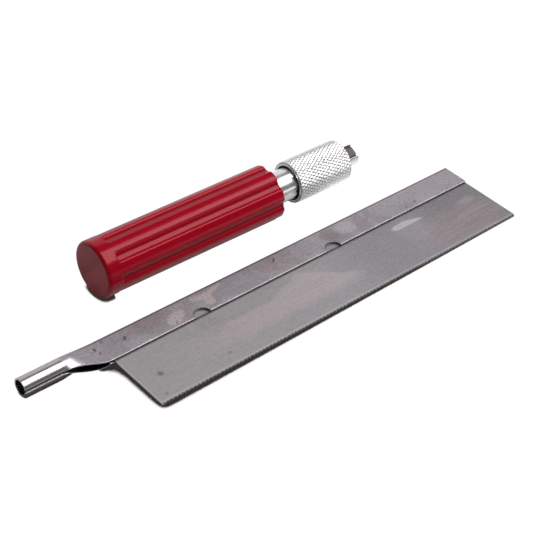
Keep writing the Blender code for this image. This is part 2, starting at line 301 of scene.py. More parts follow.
def ring_faces(rows, columns, closed=False):
    """Quads between neighbouring rings of points; closed joins the last ring to the first."""
    row = np.arange(rows if closed else rows - 1)[:, None]
    column = np.arange(columns)[None, :]
    after = (column + 1) % columns
    below = (row + 1) % rows
    corners = (row * columns + column, row * columns + after)
    corners += (below * columns + after, below * columns + column)
    return np.stack(np.broadcast_arrays(*corners), -1).reshape(-1, 4)


def staggered_faces(rows, columns):
    """Triangles between rings whose odd rows lie half a step ahead, so that edges slant both ways.

    The last ring joins the first, and the number of rings is even.
    """
    row = np.arange(rows)[:, None]
    column = np.arange(columns)[None, :]
    after = (column + 1) % columns
    here, below = row * columns, (row + 1) % rows * columns
    odd = row % 2 == 1
    near = np.where(odd, below + after, below + column)
    first = np.stack(np.broadcast_arrays(here + column, here + after, near), -1)
    start = np.where(odd, here + column, here + after)
    second = np.stack(np.broadcast_arrays(start, below + after, below + column), -1)
    return np.concatenate([first.reshape(-1, 3), second.reshape(-1, 3)])


def end_strips(rows, columns):
    """Quads across both end rings, each a sheet's outline: one face out, the other back."""
    k = np.arange(columns // 2 - 1)
    ends = []
    for first in (0, (rows - 1) * columns):
        last = first + columns - 1
        ends.append(np.stack([first + k, first + k + 1, last - k - 1, last - k], -1))
    ends[0] = ends[0][:, ::-1]
    return np.concatenate(ends)


def end_caps(rows, columns):
    """One face over the first ring and one over the last."""
    first = np.arange(columns)
    return np.stack([first[::-1], first + (rows - 1) * columns])


def faces_outwards(points, groups):
    """The faces, turned round if they enclose a negative volume.

    Each group is an array of faces with equal numbers of corners. A face is a fan of triangles,
    and each holds a sixth of its corners' triple product.
    """
    volume = 0.0
    for faces in groups:
        corners = points[faces]
        fan = np.cross(corners[:, 1:-1], corners[:, 2:])
        volume += np.einsum("fkc,fc->", fan, corners[:, 0])
    way = 1 if volume > 0 else -1
    return [face[::way] for faces in groups for face in faces.tolist()]


def add_piece(name, points, faces, finish, body, node, slot, smooth=32):
    """A piece in its final place, which rides on a body and stands for a node."""
    points = points.reshape(-1, 3)
    mesh = bpy.data.meshes.new(name)
    mesh.from_pydata(points, [], faces_outwards(points - points.mean(0), faces))
    mesh.validate()
    mesh.shade_smooth()
    mesh.set_sharp_from_angle(angle=math.radians(smooth))
    mesh.materials.append(finish)
    piece = bpy.data.objects.new(name, mesh)
    bpy.context.scene.collection.objects.link(piece)
    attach(piece, body)
    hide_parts(node)
    return piece


def round_edges(piece, width, steps=2):
    """A Bevel on every edge sharper than a round surface has."""
    bevel = piece.modifiers.new("worn_edges", "BEVEL")
    bevel.width = width * MM
    bevel.segments = steps
    bevel.limit_method = "ANGLE"
    bevel.angle_limit = math.radians(35)
    bevel.harden_normals = False


# ---------------------------------------------------------------- handle


def grip_points(length):
    """The grip as rings: the butt's fillet, the fluted side, the front face and the bore.

    The radius is the outline's radius less the groove. A groove is a circle's arc through both its
    edges and its floor. Edges are rounded by taking (d + sqrt(d² + e²)) / 2 for the depth d. Its
    floor comes down in a quarter circle behind the collar, a little later towards its sides, so
    that its end is round.
    """
    angles = np.linspace(0, 2 * np.pi, FLUTE_COUNT * 48, endpoint=False)
    spacing = 2 * np.pi / FLUTE_COUNT
    offset = (angles - FIRST_CREST_ANGLE) % spacing - spacing / 2
    across = np.clip(offset / FLUTE_HALF_ANGLE, -1, 1)
    half_width = GRIP_RADIUS * FLUTE_HALF_ANGLE
    curve = (half_width**2 + FLUTE_DEPTH**2) / (2 * FLUTE_DEPTH)
    sunk = np.sqrt(np.maximum(0, curve**2 - (offset * GRIP_RADIUS) ** 2)) - (curve - FLUTE_DEPTH)
    rounded = (sunk + np.sqrt(sunk**2 + FLUTE_EDGE**2)) / 2
    run_in_end = COLLAR_LENGTH + FLUTE_RUN_IN + FLUTE_CORNER
    outer = np.concatenate(
        [
            arc((BUTT_FILLET, GRIP_RADIUS - BUTT_FILLET), BUTT_FILLET, 180, 90, 16),
            line((BUTT_FILLET + 0.2, GRIP_RADIUS), (COLLAR_LENGTH - 0.1, GRIP_RADIUS), 6),
            line((COLLAR_LENGTH, GRIP_RADIUS), (run_in_end, GRIP_RADIUS), 26),
            line((run_in_end + 0.5, GRIP_RADIUS), (length - FRONT_FILLET - 0.3, GRIP_RADIUS), 24),
            arc((length - FRONT_FILLET, GRIP_RADIUS - FRONT_FILLET), FRONT_FILLET, 90, 0, 8),
        ]
    )
    barrel_hole = BARREL_RADIUS + GRIP_CLEARANCE
    shank_hole = SHANK_RADIUS + GRIP_CLEARANCE
    inner = np.array(
        [
            (length, barrel_hole + 0.15),
            (length - 0.15, barrel_hole),
            (BARREL_START - GRIP_CLEARANCE, barrel_hole),
            (BARREL_START - GRIP_CLEARANCE, shank_hole),
            (SHANK_START - GRIP_CLEARANCE, shank_hole),
        ]
    )
    x, radius = np.concatenate([outer, inner]).T[:, :, None]
    corner = FLUTE_CORNER * (1 - np.sqrt(1 - across**2))
    inside = np.clip((x - COLLAR_LENGTH - corner) / FLUTE_RUN_IN, 0, 1)
    groove = rounded * np.sqrt(1 - (1 - inside) ** 2)
    groove[len(outer) :] = 0
    return turned(x, radius - groove, angles)


def thread_radius(x, angle):
    """The barrel's thread: a triangle wave along x that moves on by one pitch in each turn."""
    phase = x / THREAD_PITCH - angle / (2 * np.pi)
    return BARREL_RADIUS - THREAD_DEPTH * np.abs(2 * (phase % 1) - 1)


def shaft_points():
    """The shank with its grooves, the threaded barrel and the tapered bore, as rings."""
    bevel = 0.3
    outline = [(SHANK_START, SHANK_RADIUS - bevel), (SHANK_START + bevel, SHANK_RADIUS)]
    for groove in range(SHANK_GROOVES):
        begin = SHANK_START + SHANK_GROOVE_PITCH * (groove + 0.5)
        end = begin + SHANK_GROOVE_WIDTH
        floor = SHANK_RADIUS - SHANK_GROOVE_DEPTH
        outline += [(begin, SHANK_RADIUS), (begin, floor), (end, floor), (end, SHANK_RADIUS)]
    outline += [(BARREL_START, SHANK_RADIUS), (BARREL_START, BARREL_RADIUS)]
    before = np.array(outline)
    threaded = line((BARREL_THREAD_START, BARREL_RADIUS), (BARREL_END, BARREL_RADIUS), 130)
    hole = COLLET_RADIUS + BORE_CLEARANCE
    after = np.array(
        [
            (BARREL_END, TAPER_RADIUS + BORE_CLEARANCE),
            (TAPER_START, hole),
            (BORE_BOTTOM, hole),
            (BORE_BOTTOM - 1.8, 0.2),
        ]
    )
    angles = np.linspace(0, 2 * np.pi, TURNED_STEPS, endpoint=False)
    x, radius = np.concatenate([before, threaded, after]).T[:, :, None]
    radius = np.broadcast_to(radius, (len(x), TURNED_STEPS)).copy()
    rows = slice(len(before), len(before) + len(threaded))
    along = x[rows]
    run_out = BARREL_RADIUS - 0.7 * (along - BARREL_THREAD_START)
    chamfer = BARREL_RADIUS - bevel + (BARREL_END - along)
    radius[rows] = np.minimum(np.maximum(thread_radius(along, angles), run_out), chamfer)
    return turned(x, radius, angles)


def sleeve_points(rear, front, sleeve_radius):
    """The knurled sleeve as closed rings, odd ones half a step ahead.

    Two families of grooves wind round it both ways. The height is the smaller of the distances to
    the nearest groove of each, cut off flat near the top, which leaves diamonds.
    """
    columns = KNURL_STARTS * KNURL_STEPS
    knurled = line((rear, sleeve_radius), (front, sleeve_radius), KNURL_ROWS)
    thread_start = rear + COUNTERBORE_DEPTH
    front_half = np.array(
        [
            (front, NOSE_HOLE_RADIUS + 0.15),
            (front - 0.15, NOSE_HOLE_RADIUS),
            (SLEEVE_CONE_END, NOSE_HOLE_RADIUS),
            (SLEEVE_CONE_START, SLEEVE_BORE),
        ]
    )
    threaded = line((SLEEVE_THREAD_END, SLEEVE_BORE), (thread_start, SLEEVE_BORE), 120)
    rear_half = np.array(
        [
            (thread_start, COUNTERBORE_RADIUS),
            (rear + 0.15, COUNTERBORE_RADIUS),
            (rear, COUNTERBORE_RADIUS + 0.15),
        ]
    )
    rows = np.concatenate([knurled, front_half, threaded, rear_half])
    rows = rows if len(rows) % 2 == 0 else np.insert(rows, -1, (rear + 1.5, COUNTERBORE_RADIUS), 0)
    x, radius = rows.T[:, :, None]
    step = np.arange(len(rows))[:, None]
    turn = (np.arange(columns) + step % 2 / 2) / columns
    angle = 2 * np.pi * turn
    radius = np.broadcast_to(radius, angle.shape).copy()

    along = x[: KNURL_ROWS + 1]
    winding = step[: KNURL_ROWS + 1] / (2 * KNURL_STEPS)
    heights = []
    for way in (1, -1):
        phase = KNURL_STARTS * turn[: KNURL_ROWS + 1] + way * winding
        heights.append(1 - np.abs(2 * (phase % 1) - 1))
    height = np.minimum(np.minimum(*heights), KNURL_FLAT) / KNURL_FLAT
    chamfer = sleeve_radius - SLEEVE_CHAMFER + np.minimum(along - rear, front - along)
    knurl = sleeve_radius - KNURL_DEPTH * (1 - height)
    radius[: KNURL_ROWS + 1] = np.minimum(knurl, chamfer)

    first = KNURL_ROWS + 1 + len(front_half)
    inner = slice(first, first + len(threaded))
    along = x[inner]
    lead_in = SLEEVE_BORE - np.minimum(along - thread_start, SLEEVE_THREAD_END - along)
    thread = thread_radius(along, angle[inner]) + THREAD_GAP
    radius[inner] = np.maximum(thread, lead_in)
    return turned(x, radius, angle)


def ring_points():
    """The collet's ring as closed rings with small chamfers."""
    end = RING_START + RING_LENGTH
    edge = 0.15
    outline = [
        (RING_START, COLLET_BORE + edge),
        (RING_START, COLLET_RADIUS - edge),
        (RING_START + edge, COLLET_RADIUS),
        (end - edge, COLLET_RADIUS),
        (end, COLLET_RADIUS - edge),
        (end, COLLET_BORE + edge),
        (end - edge, COLLET_BORE),
        (RING_START + edge, COLLET_BORE),
    ]
    x, radius = np.array(outline).T[:, :, None]
    return turned(x, radius, np.linspace(0, 2 * np.pi, TURNED_STEPS, endpoint=False))


def jaw_points(number):
    """A quarter of the collet as sections along x: an outer arc and the bore's arc back.

    Its sides keep half a slot's width from the planes between the jaws, so at each radius the arc
    reaches to an eighth of a turn less the arcsine of half a slot over the radius.
    """
    flat = number % 2 == 1
    tip = FLAT_JAW_TIP if flat else JAW_TIP
    stations = [
        (JAW_START, COLLET_RADIUS),
        (TAPER_START, COLLET_RADIUS),
        (TAPER_END, TAPER_RADIUS),
        (HEAD_START, TAPER_RADIUS),
        (HEAD_START, HEAD_RADIUS),
        (HEAD_CONE_START, HEAD_RADIUS),
        (HEAD_CONE_END, COLLET_RADIUS),
        (JAW_FLAT_START, COLLET_RADIUS),
        (JAW_FLAT_START, COLLET_RADIUS),
        (tip - JAW_TIP_CHAMFER, COLLET_RADIUS),
        (tip, COLLET_RADIUS - JAW_TIP_CHAMFER),
    ]
    x, outer = np.array(stations).T[:, :, None]
    inner = np.full_like(outer, COLLET_BORE)
    inner[-1] += JAW_TIP_CHAMFER / 2
    share = np.linspace(-1, 1, 33)
    arcs = []
    for radius, way in ((outer, share), (inner, -share)):
        reach = np.pi / 4 - np.arcsin(SLOT_WIDTH / 2 / radius)
        across, out = radius * np.sin(way * reach), radius * np.cos(way * reach)
        arcs.append(np.stack(np.broadcast_arrays(x, across, out), -1))
    if flat:
        arcs[0][8:, :, 2] = np.minimum(arcs[0][8:, :, 2], JAW_FLAT_DISTANCE)
    section = np.concatenate(arcs, 1)
    turn = FIRST_JAW_ANGLE + (number - 1) * np.pi / 2
    y, z = section[..., 1], section[..., 2]
    section[..., 1], section[..., 2] = (
        y * math.cos(turn) - z * math.sin(turn),
        y * math.sin(turn) + z * math.cos(turn),
    )
    return section


# ---------------------------------------------------------------- blade


def plate_points(size):
    """The plate as sections along u, one at each tooth's gullet and one at its tip.

    The teeth lean, and their tips are filed thin on alternate sides.
    """
    length, height, thickness = size
    pitch = length / TOOTH_COUNT
    tooth = np.arange(TOOTH_COUNT)
    gullets = np.stack([tooth * pitch, np.full(TOOTH_COUNT, TOOTH_DEPTH)], -1)
    tips = gullets + (0.3 * pitch, -TOOTH_DEPTH)
    edge = np.stack([gullets, tips], 1).reshape(-1, 2)
    edge = np.concatenate([edge, [(length, TOOTH_DEPTH)]])
    side = np.zeros(len(edge))
    side[1::2] = np.where(tooth % 2, 1, -1)
    half = thickness / 2
    thin = 0.7 * half
    u, v = edge.T
    outline = [
        (v, half - thin * (side > 0)),
        (v, -half + thin * (side < 0)),
        (np.full_like(v, TOOTH_DEPTH * 1.6), np.full_like(v, -half)),
        (np.full_like(v, height), np.full_like(v, -half)),
        (np.full_like(v, height), np.full_like(v, half)),
        (np.full_like(v, TOOTH_DEPTH * 1.6), np.full_like(v, half)),
    ]
    return np.stack([np.stack([u, v_side, w_side], -1) for v_side, w_side in outline], 1)


def ease(share):
    """3 s² - 2 s³, held at 0 before s = 0 and at 1 after s = 1."""
    share = np.clip(share, 0, 1)
    return share * share * (3 - 2 * share)


def between(a, b, share):
    """a + (b - a) share."""
    return a + (b - a) * share


def spine_stations(end):
    """Where the spine's sections lie: close together where the sheet spreads and at notches."""
    stations = [
        np.linspace(TANG_END, SPREAD_START, 6),
        np.linspace(SPREAD_START, SPREAD_END, 57),
        np.linspace(SPREAD_END, end, 30),
    ]
    for centre in NOTCH_CENTRES:
        stations.append(centre - NOTCH_RADIUS * np.cos(np.linspace(0, np.pi, 33)))
    return np.unique(np.round(np.concatenate(stations), 5))


def spine_points(end, thickness):
    """The folded sheet as sections along u: an arc round the back and two straight flaps.

    The arc's radius, the height of the flaps' edge and their distance from the middle plane ease
    from the tube of the tang to the flat fold. Each flap is the tangent from its edge to the arc.
    """
    u = spine_stations(end)[:, None]
    share = (u - SPREAD_START) / (SPREAD_END - SPREAD_START)
    inside = np.clip(share, 0, 1)
    tube = TANG_RADIUS - SHEET / 2
    fold = thickness / 2 + SHEET_GAP + SHEET / 2
    radius = between(tube, fold, ease(share))
    centre = BACK_LINE - SHEET / 2 - radius
    gap = between(TANG_SEAM / 2, fold, inside) + MOUTH_OPENING * np.sin(np.pi * inside)
    seam = BACK_LINE - SHEET / 2 - tube - math.sqrt(tube**2 - (TANG_SEAM / 2) ** 2)
    notch = [NOTCH_RADIUS**2 - (u - middle) ** 2 for middle in NOTCH_CENTRES]
    rise = np.sqrt(np.maximum(0, np.maximum(*notch)))
    edge = between(seam, FLAP_EDGE, ease(share)) + rise
    reach = np.hypot(edge - centre, gap)
    angle = np.arctan2(gap, edge - centre) - np.arccos(np.minimum(1, radius / reach))
    length = np.sqrt(np.maximum(0, reach**2 - radius**2))

    half = SHEET / 2
    corner = np.radians(np.linspace(90, 0, 4))
    outwards = half - SHEET_CORNER + SHEET_CORNER * np.cos(corner)
    along = SHEET_CORNER * (np.sin(corner) - 1)
    turn = angle * np.linspace(1, -1, 57)
    halves = []
    for side in (1, -1):
        away = radius + side * outwards
        tip_v = centre + away * np.cos(angle) - (length + along) * np.sin(angle)
        tip_w = away * np.sin(angle) + (length + along) * np.cos(angle)
        bend = radius + side * half
        v = np.concatenate([tip_v, centre + bend * np.cos(turn), tip_v[:, ::-1]], 1)
        w = np.concatenate([tip_w, bend * np.sin(turn), -tip_w[:, ::-1]], 1)
        outline = np.stack([np.broadcast_to(u, v.shape), v, w], -1)
        halves.append(outline if side > 0 else outline[:, ::-1])
    return np.concatenate(halves, 1)


# ---------------------------------------------------------------- finishes


class Wire:
    """A node's output. Sums with it add the Math nodes that work them out."""

    def __init__(self, finish, socket):
        self.finish = finish
        self.socket = socket

    def __add__(self, other):
        return self.finish.maths("ADD", self, other)

    def __sub__(self, other):
        return self.finish.maths("SUBTRACT", self, other)

    def __rsub__(self, other):
        return self.finish.maths("SUBTRACT", other, self)

    def __mul__(self, other):
        return self.finish.maths("MULTIPLY", self, other)

    def __truediv__(self, other):
        return self.finish.maths("DIVIDE", self, other)

    def __pow__(self, other):
        return self.finish.maths("POWER", self, other)

    __radd__ = __add__
    __rmul__ = __mul__


class Finish:
    """A material being made: its nodes, and its Principled shader."""

    def __init__(self, name, **uniform):
        self.material = bpy.data.materials.new(name)
        self.material.use_nodes = True
        self.tree = self.material.node_tree
        self.shader = self.tree.nodes["Principled BSDF"]
        for socket, value in uniform.items():
            self.set(socket.replace("_", " "), value)

    def node(self, kind, settings=(), sockets=(), output=0):
        """A node of this kind: its settings first, then the values or links of its sockets."""
        made = self.tree.nodes.new(kind)
        for setting, value in dict(settings).items():
            if setting == "stops":
                self.put_stops(made.color_ramp, value)
            else:
                setattr(made, setting, value)
        for socket, value in dict(sockets).items():
            self.feed(made.inputs[socket], value)
        return Wire(self, made.outputs[output])

    @staticmethod
    def put_stops(ramp, stops):
        """Give a ramp its stops, each a position and a colour."""
        while len(ramp.elements) < len(stops):
            ramp.elements.new(1.0)
        for element, (position, colour) in zip(ramp.elements, stops):
            element.position = position
            element.color = (*colour, 1.0)

    def feed(self, socket, value):
        """Link a wire to a socket, or set a plain value on it."""
        if isinstance(value, Wire):
            self.tree.links.new(value.socket, socket)
        else:
            socket.default_value = value

    def set(self, socket, value):
        """Feed one of the shader's own sockets."""
        if isinstance(value, tuple):
            value = (*value, 1.0)
        self.feed(self.shader.inputs[socket], value)

    def maths(self, operation, *values, clamp=False):
        """One Math node on these values."""
        settings = {"operation": operation, "use_clamp": clamp}
        return self.node("ShaderNodeMath", settings, enumerate(values))

    def mix(self, share, a, b):
        """Colour a turning into colour b."""
        colours = [(*c, 1.0) if isinstance(c, tuple) else c for c in (a, b)]
        settings = {"data_type": "RGBA"}
        return self.node("ShaderNodeMix", settings, {0: share, 6: colours[0], 7: colours[1]}, 2)

    def place(self, axes):
        """Object coordinates in millimetres along the piece's own axes."""
        directions = Matrix(axes.directions.tolist())
        settings = {"vector_type": "POINT"}
        coordinates = self.node("ShaderNodeTexCoord", output="Object")
        sockets = {
            "Vector": coordinates,
            "Location": -(directions @ Vector(axes.start)) / MM,
            "Rotation": directions.to_euler("XYZ"),
            "Scale": (1 / MM,) * 3,
        }
        return self.node("ShaderNodeMapping", settings, sockets)

    def split(self, vector):
        """The three parts of a vector."""
        node = self.node("ShaderNodeSeparateXYZ", sockets={0: vector}).socket.node
        return [Wire(self, output) for output in node.outputs]

    def stretch(self, vector, scale):
        """The vector times a scale for each direction."""
        return self.node("ShaderNodeVectorMath", {"operation": "MULTIPLY"}, {0: vector, 1: scale})

    def noise(self, vector, scale, detail=3.0, roughness=0.55, distortion=0.0):
        """Noise from 0 to 1, with this many grains in a millimetre."""
        sockets = {"Vector": vector, "Scale": scale, "Detail": detail}
        sockets.update({"Roughness": roughness, "Distortion": distortion})
        return self.node("ShaderNodeTexNoise", {"noise_dimensions": "3D"}, sockets)

    def step(self, value, low, high, first=0.0, last=1.0):
        """A smooth step: first up to low, last from high."""
        sockets = {"Value": value, 1: low, 2: high, 3: first, 4: last}
        settings = {"interpolation_type": "SMOOTHSTEP"}
        return self.node("ShaderNodeMapRange", settings, sockets)

    def patch(self, along, up, middle, reach, soft=0.3, slant=0.0):
        """1 inside an ellipse round a middle, 0 outside, with an edge this soft.

        Its height leans by the slant for each millimetre along.
        """
        off = along - middle[0]
        rise = up - middle[1] - off * slant
        distance = ((off / reach[0]) ** 2 + (rise / reach[1]) ** 2) ** 0.5
        return self.step(distance, 1 - soft, 1 + soft, 1, 0)

    def band(self, value, rise, fall):
        """1 between two smooth steps, one up and one down, 0 outside."""
        return self.step(value, *rise) * self.step(value, *fall, 1, 0)

    def stain(self, colour, along, up, stains, slant=0.0):
        """The colour with each stain laid over it in turn."""
        for middle, reach, soft, strength, tone in stains:
            patch = self.patch(along, up, middle, reach, soft, slant)
            colour = self.mix(patch * strength, colour, tone)
        return colour

    def course(self, along, start, end, heights):
        """A height that passes evenly through these heights from start to end."""
        share = (along - start) / (end - start)
        top = max(heights)
        count = len(heights) - 1
        stops = [(index / count, (height / top,) * 3) for index, height in enumerate(heights)]
        return top * self.node("ShaderNodeValToRGB", {"stops": stops}, {"Fac": share})

    def bump(self, height, distance, strength=1.0, normal=None):
        """A bump from a height of 1 standing this many millimetres proud."""
        sockets = {"Strength": strength, "Distance": distance * MM, "Height": height}
        if normal:
            sockets["Normal"] = normal
        return self.node("ShaderNodeBump", sockets=sockets)


def red_plastic(axes):
    """Glossy moulded plastic: fine dimples, handling scuffs, painted shade in the grooves, a dull
    butt with a painted reflection.
    """
    finish = Finish("red_plastic", IOR=1.45, Specular_IOR_Level=0.45)
    finish.set("Specular Tint", (1.0, 0.45, 0.48))
    place = finish.place(axes)
    x, y, z = finish.split(place)
    radius = (y * y + z * z) ** 0.5
    butt = finish.step(x, 0.02, 0.1, 1, 0)
    broad = finish.noise(place, 0.12, 2)
    fine = finish.noise(place, 2.2, 3)
    scuffs = finish.step(finish.noise(finish.stretch(place, (0.25, 1.6, 1.6)), 1.4, 4), 0.56, 0.78)
    groove = finish.step(radius, GRIP_RADIUS - FLUTE_DEPTH, GRIP_RADIUS - 0.2, 1, 0) * (1 - butt)
    colour = finish.mix(broad, *RED)
    # Painted shade: the red darkens down in the flutes.
    colour = finish.mix(groove * 0.35, colour, FLUTE_SHADE_RED)
    # Painted reflection: the butt face is tinted greyish pink in place of a reflection.
    butt_sheen = finish.mix(finish.step(broad, 0.35, 0.65), *BUTT_SHEEN_TONES)
    colour = finish.mix(butt * 0.8, colour, butt_sheen)
    finish.set("Base Color", colour)
    finish.set("Roughness", 0.15 + fine * 0.05 + scuffs * 0.08 + butt * 0.3)
    grain = finish.bump(fine, 0.004, 0.4)
    finish.set("Normal", finish.bump(scuffs, 0.003, 0.4, grain))
    return finish.material


def turned_aluminium(axes):
    """Bright aluminium with fine lathe lines round the axis."""
    finish = Finish("turned_aluminium", Metallic=1.0)
    place = finish.place(axes)
    x, y, z = finish.split(place)
    radius = (y * y + z * z) ** 0.5
    across = finish.node("ShaderNodeCombineXYZ", sockets={0: x, 1: radius})
    lines = finish.noise(across, 9.0, 4, 0.7)
    cloud = finish.noise(place, 0.5, 3)
    finish.set("Base Color", finish.mix(cloud, *BRIGHT_ALUMINIUM))
    finish.set("Roughness", 0.16 + lines * 0.12 + cloud * 0.06)
    finish.set("Normal", finish.bump(lines, 0.002, 0.3))
    return finish.material


def collet_aluminium(axes, name, outside):
    """Machined aluminium with this tone outside, and painted shade on the filed flats and in the
    bore.
    """
    finish = Finish(name, Metallic=1.0)
    place = finish.place(axes)
    _, y, z = finish.split(place)
    radius = (y * y + z * z) ** 0.5
    turned_face = finish.step(radius, COLLET_RADIUS - 0.07, COLLET_RADIUS - 0.02)
    fine = finish.noise(place, 3.0, 4)
    # Painted shade on the flats, the inner slot sides and in the bore.
    flat_shade = finish.mix(fine, *FLAT_AND_BORE_SHADE)
    finish.set("Base Color", finish.mix(turned_face, flat_shade, outside))
    finish.set("Roughness", 0.42 + fine * 0.12)
    finish.set("Normal", finish.bump(fine, 0.004, 0.5))
    return finish.material


def knurled_aluminium(axes, radius_outside):
    """Bright satin aluminium, darker in the knurl's grooves."""
    finish = Finish("knurled_aluminium", Metallic=1.0)
    place = finish.place(axes)
    _, y, z = finish.split(place)
    radius = (y * y + z * z) ** 0.5
    cloud = finish.noise(place, 0.6, 4)
    pit = finish.step(radius, radius_outside - KNURL_DEPTH, radius_outside - KNURL_DEPTH / 2, 1, 0)
    outside = finish.step(radius, radius_outside - 0.45, radius_outside - 0.4)
    # Darker down in the knurl's grooves, unevenly.
    darkening = outside * pit * finish.step(cloud, 0.3, 0.6, 0.5, 0.9)
    colour = finish.mix(cloud, *KNURL_ALUMINIUM)
    finish.set("Base Color", finish.mix(darkening, colour, KNURL_GROOVE_DARK))
    finish.set("Roughness", 0.36 + cloud * 0.1)
    finish.set("Normal", finish.bump(finish.noise(place, 6.0, 3), 0.002, 0.4))
    return finish.material


def saw_steel(axes):
    """Grey spring steel: lengthwise grain, warm bands of tarnish, a pale scar, a painted shadow along
    the flap's edge.
    """
    finish = Finish("saw_steel", Metallic=1.0)
    place = finish.place(axes)
    u, v, _ = finish.split(place)
    grain = finish.noise(finish.stretch(place, (0.12, 3.0, 1.0)), 1.0, 5, 0.7)
    mottle = finish.noise(finish.stretch(place, (0.7, 1.0, 1.0)), 1.6, 5, 0.75)
    wander = finish.noise(place, 0.16, 4, 0.6)
    ripple = finish.noise(finish.stretch(place, (0.09, 0.9, 1.0)), 1.0, 4, 0.65)
    lift = v + (wander - 0.5) * 4 + (ripple - 0.5) * 1.5

    colour = finish.mix(finish.step(u, 0, 55), PLATE_NEAR, PLATE_MIDDLE)
    colour = finish.mix(finish.step(u, 62, 84), colour, PLATE_BEYOND)
    top = finish.course(u, *WARM_BAND, WARM_BAND_TOP)
    warm = finish.step(lift - top, -0.5, 0.5, 1, 0) * finish.step(lift, 4.5, 8.5)
    warm = warm * finish.band(u, (8, 40), (70, 76))
    colour = finish.mix(warm * 0.9, colour, WARM_TARNISH)
    colour = finish.mix(finish.step(u, 98, 112) * 0.95, colour, PLATE_END)
    streaks = finish.patch(u, lift, (111, 6.5), (17, 6.5), 0.35)
    streaks = streaks * finish.step(ripple, 0.35, 0.6, 0.25, 1)
    colour = finish.mix(streaks * 0.85, colour, BROWN_STAIN)
    colour = finish.stain(colour, u, v, PLATE_STAINS)
    pale = finish.patch(u, v, (98, 15.2), (5.5, 1.5), 0.12, -0.1) * finish.step(v, 14.5, 15.1)
    colour = finish.mix(pale * 0.9, colour, PALE_SCAR)

    dark_specks, light_specks = PLATE_SPECKS
    colour = finish.mix(finish.step(grain, 0.35, 0.7) * 0.28, colour, PLATE_GRAIN)
    colour = finish.mix(finish.step(mottle, 0.52, 0.66) * 0.34, colour, dark_specks)
    colour = finish.mix(finish.step(mottle, 0.48, 0.34) * 0.3, colour, light_specks)
    colour = finish.stain(colour, u, v, PLATE_RUST)

    colour = finish.mix(finish.band(v, (0.5, 0.85), (0.9, 1.3)) * 0.45, colour, TOOTH_SHINE)
    colour = finish.mix(finish.step(v, 0.35, 0.6, 1, 0) * 0.8, colour, TOOTH_SHADE)
    colour = finish.mix(finish.step(u, 0.15, 0.5, 1, 0) * 0.6, colour, HEEL_SHINE)
    # Painted shadow: a dark line along the flap's edge, where the gap under the flap is in shade.
    darkening = finish.band(v, (FLAP_EDGE - 0.75, FLAP_EDGE - 0.2), (FLAP_EDGE, FLAP_EDGE + 0.6))
    colour = finish.mix(darkening * 0.9, colour, FLAP_SHADOW)
    finish.set("Base Color", colour)
    finish.set("Roughness", 0.34 + mottle * 0.08 + grain * 0.06)
    finish.set("Normal", finish.bump(grain, 0.004, 0.35))
    return finish.material


def mouth_and_seam(finish, place, colour, tube):
    """The colour, with painted shade along the tube's seam and on the tube's near side below it, and
    inside the mouth where it spreads.

    The seam's place is how far a point lies down the near side of the tube. Inside the mouth is
    on the hidden side of the sheet's middle, at about the gap that its sections have.
    """
    u, v, w = finish.split(place)
    off = v - (BACK_LINE - TANG_RADIUS)
    facing = finish.step(w * 0.75 - off * 0.66, -0.2, 0.2) * tube
    down = off * -0.75 - w * 0.66
    seam = finish.band(down, (1.15, 1.25), (1.55, 1.65)) + finish.step(down, 1.95, 2.1)
    colour = finish.mix(seam * facing * 0.92, colour, SEAM_SHADE)
    share = (u - SPREAD_START) / (SPREAD_END - SPREAD_START)
    share = finish.maths("ADD", share, 0, clamp=True)
    gap = MOUTH_OPENING * finish.maths("SINE", math.pi * share) + share * 0.38 + 0.08
    inner = finish.step(w + gap, -0.04, 0.04) * finish.step(w, 0.1, 0.2, 1, 0)
    inner = inner * finish.step(v, 24.8, 25.2, 1, 0) * finish.band(share, (0.0, 0.02), (0.97, 1.0))
    return finish.mix(inner, colour, MOUTH_SHADE)


